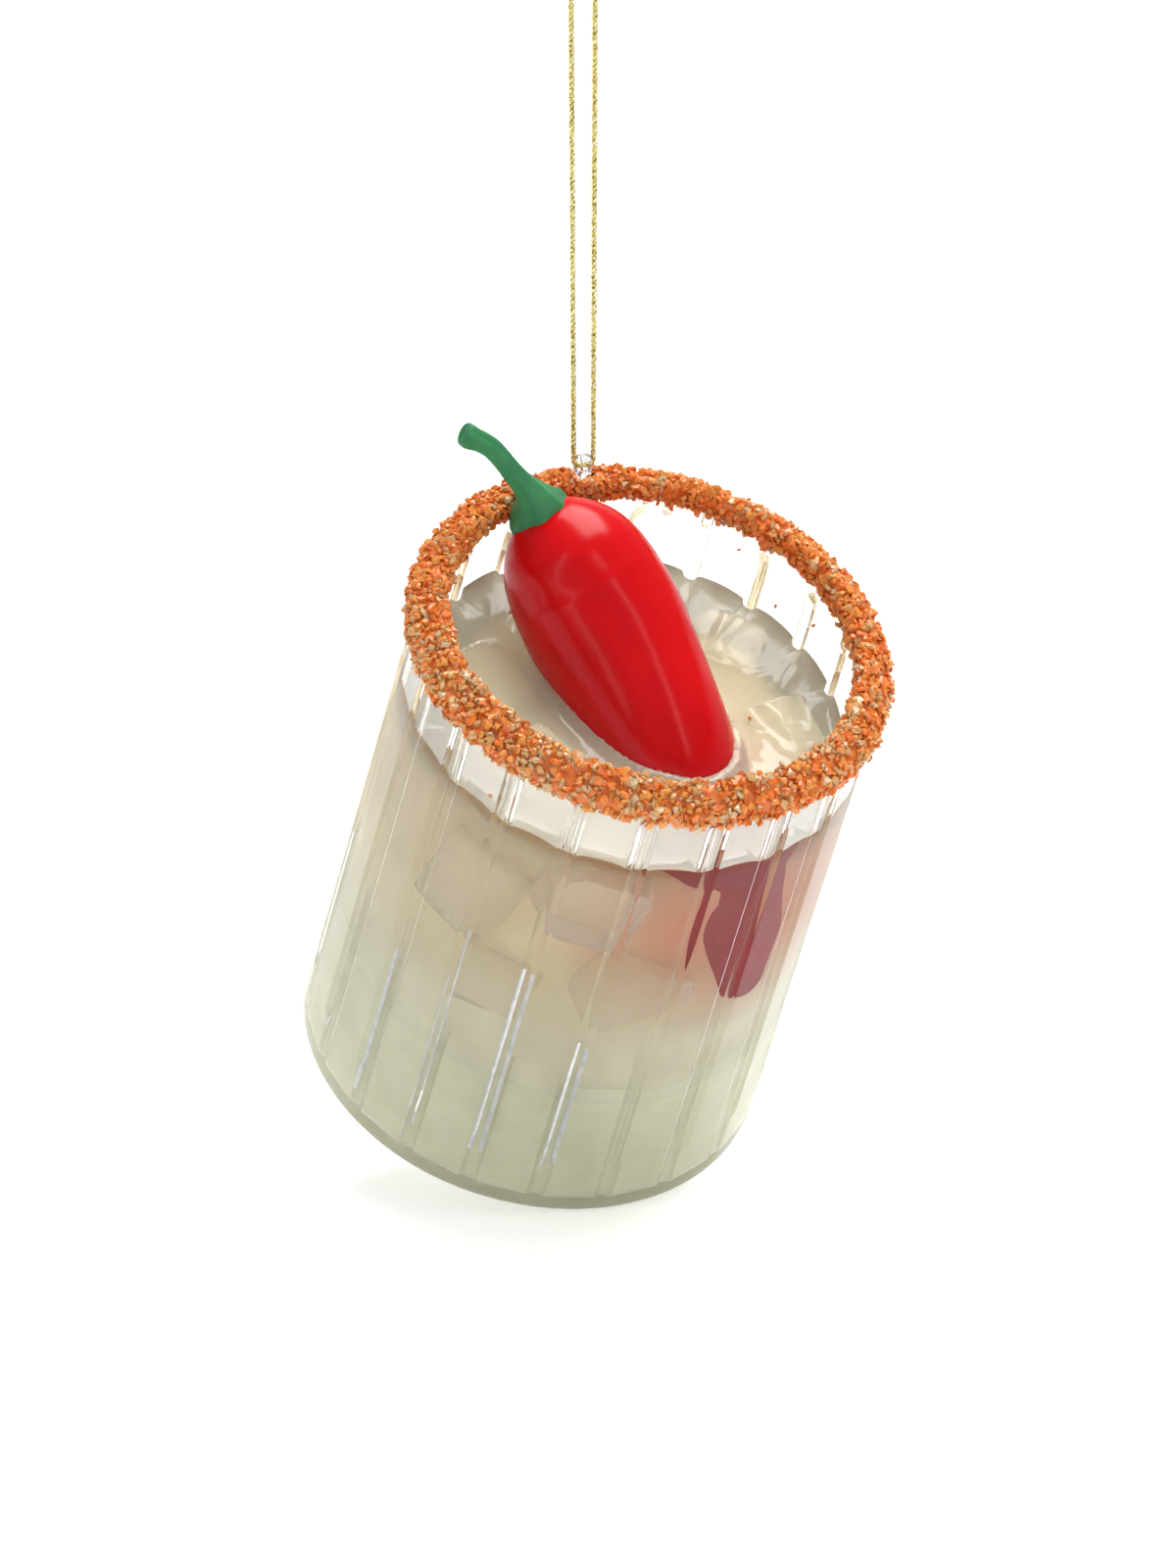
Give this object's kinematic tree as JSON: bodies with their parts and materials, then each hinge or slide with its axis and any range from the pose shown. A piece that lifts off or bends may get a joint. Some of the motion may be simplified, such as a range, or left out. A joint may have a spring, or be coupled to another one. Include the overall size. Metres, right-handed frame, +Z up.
{
  "type": "cocktail glass ornament",
  "caption": "Hanging ornament of a fluted clear tumbler with resin drink, ice chunks, a red chili, a spice-crusted rim and a gold cord loop.",
  "frame": {"origin": "where a hook or branch passes under the crown of the cord loop, just below the knot", "axes": "+Z up along the hanging cord; +X along the swing axis through the eye of the lug; the mouth of the tumbler leans towards -Y, so the lug is at the back and top of the rim"},
  "size_m": [0.0586, 0.0859, 0.1597],
  "materials": {
    "clear_plastic": "clear, glossy",
    "lime_resin": "clear pale lime, glossy",
    "amber_resin": "clear pale amber, glossy",
    "clear_ice": "clear, faceted",
    "chili_red": "glossy red",
    "stem_green": "satin green",
    "rim_glue": "clear amber film",
    "spice_grains": "sugar-like orange grains",
    "gold_cord": "twisted metallic gold"
  },
  "bodies": {
    "hanger": {"cord_loop": "gold_cord", "cord_knot": "gold_cord"},
    "glass": {"tumbler": "clear_plastic", "base_pour": "lime_resin", "top_pour": "amber_resin", "ice_1": "clear_ice", "ice_2": "clear_ice", "ice_3": "clear_ice", "ice_4": "clear_ice", "ice_5": "clear_ice", "ice_6": "clear_ice", "ice_7": "clear_ice", "ice_8": "clear_ice", "ice_9": "clear_ice", "ice_10": "clear_ice", "ice_11": "clear_ice", "chili_body": "chili_red", "chili_stem": "stem_green", "rim_glue": "rim_glue", "rim_crust": "spice_grains", "hanging_lug": "clear_plastic"}
  },
  "joints": [
    {"name": "glass_swing", "type": "hinge", "parent": "hanger", "child": "glass", "pos_m": [0, 0, -0.062], "axis": [1, 0, 0], "range_deg": [-100, 75]}
  ]
}
